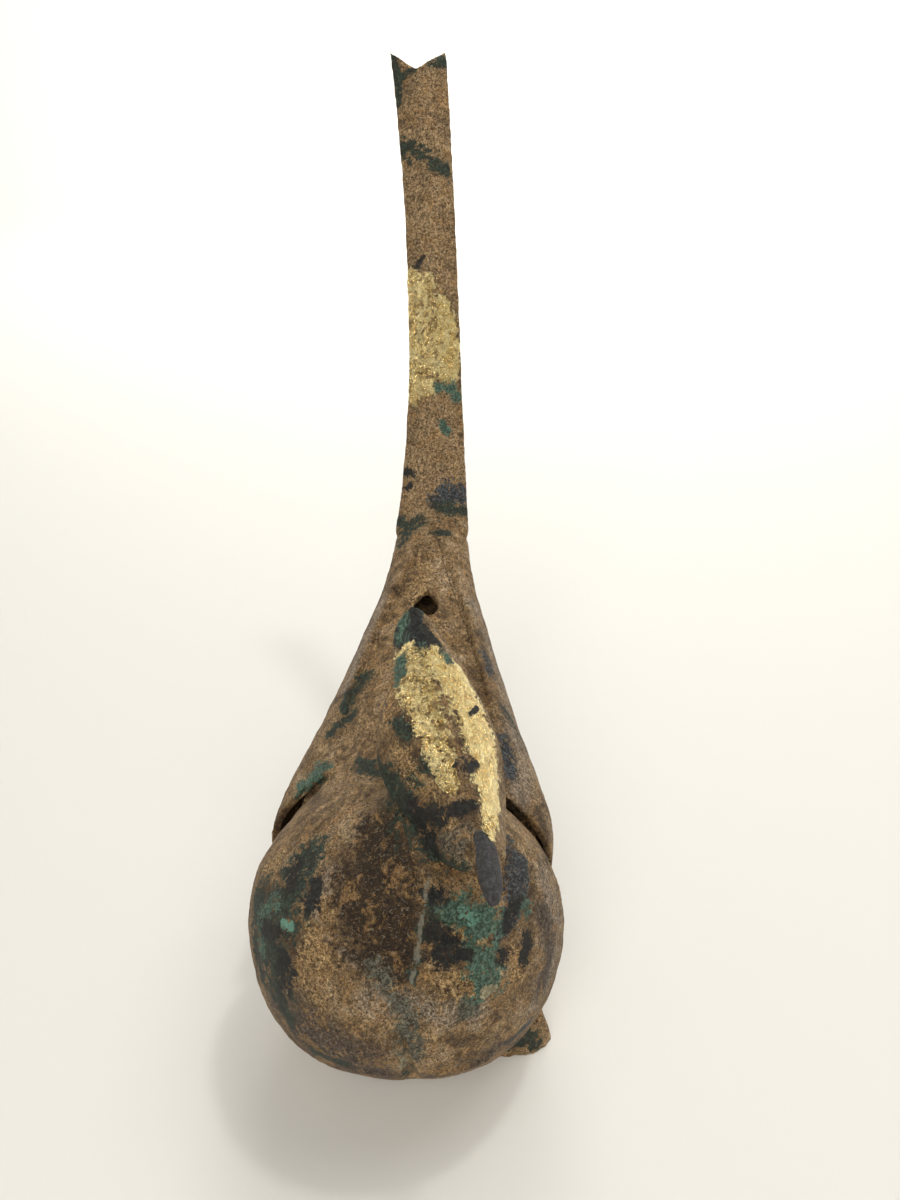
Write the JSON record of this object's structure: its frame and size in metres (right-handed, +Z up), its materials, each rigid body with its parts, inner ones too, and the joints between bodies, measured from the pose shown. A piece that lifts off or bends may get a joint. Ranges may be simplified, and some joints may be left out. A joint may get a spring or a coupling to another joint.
{
  "type": "bird-shaped incense burner",
  "caption": "Long-tailed crested bird incense burner in patinated cast bronze with gold leaf, lift-off back lid with smoke vent and lift-out ash pan.",
  "frame": {"origin": "on the resting plane, below the widest section of the body", "axes": "+Z up from the resting plane, -Y the way the bird's breast faces, +X the bird's left"},
  "size_m": [0.1052, 0.3079, 0.2991],
  "materials": {
    "patinated_bronze": "mottled patina, satin",
    "gilded_bronze": "worn gold leaf over patina",
    "inner_bronze": "dark, cast",
    "copper_sheet": "dull sheet"
  },
  "bodies": {
    "body": {"body_shell": "patinated_bronze", "head": "gilded_bronze", "left_wing": "patinated_bronze", "right_wing": "patinated_bronze", "tail": "gilded_bronze", "tail_pins": "inner_bronze", "pan_rests": "inner_bronze", "left_foot": "patinated_bronze", "right_foot": "patinated_bronze", "foot_rivets": "inner_bronze", "core_plug": "patinated_bronze", "core_plug_rivets": "inner_bronze"},
    "lid": {"lid": "patinated_bronze"},
    "pan": {"ash_pan": "copper_sheet"}
  },
  "joints": [
    {"name": "lid_lift", "type": "slide", "parent": "body", "child": "lid", "axis": [0, 0, 1], "range_m": [0, 0.06]},
    {"name": "pan_lift", "type": "slide", "parent": "body", "child": "pan", "axis": [0, 0, 1], "range_m": [0, 0.006]}
  ]
}
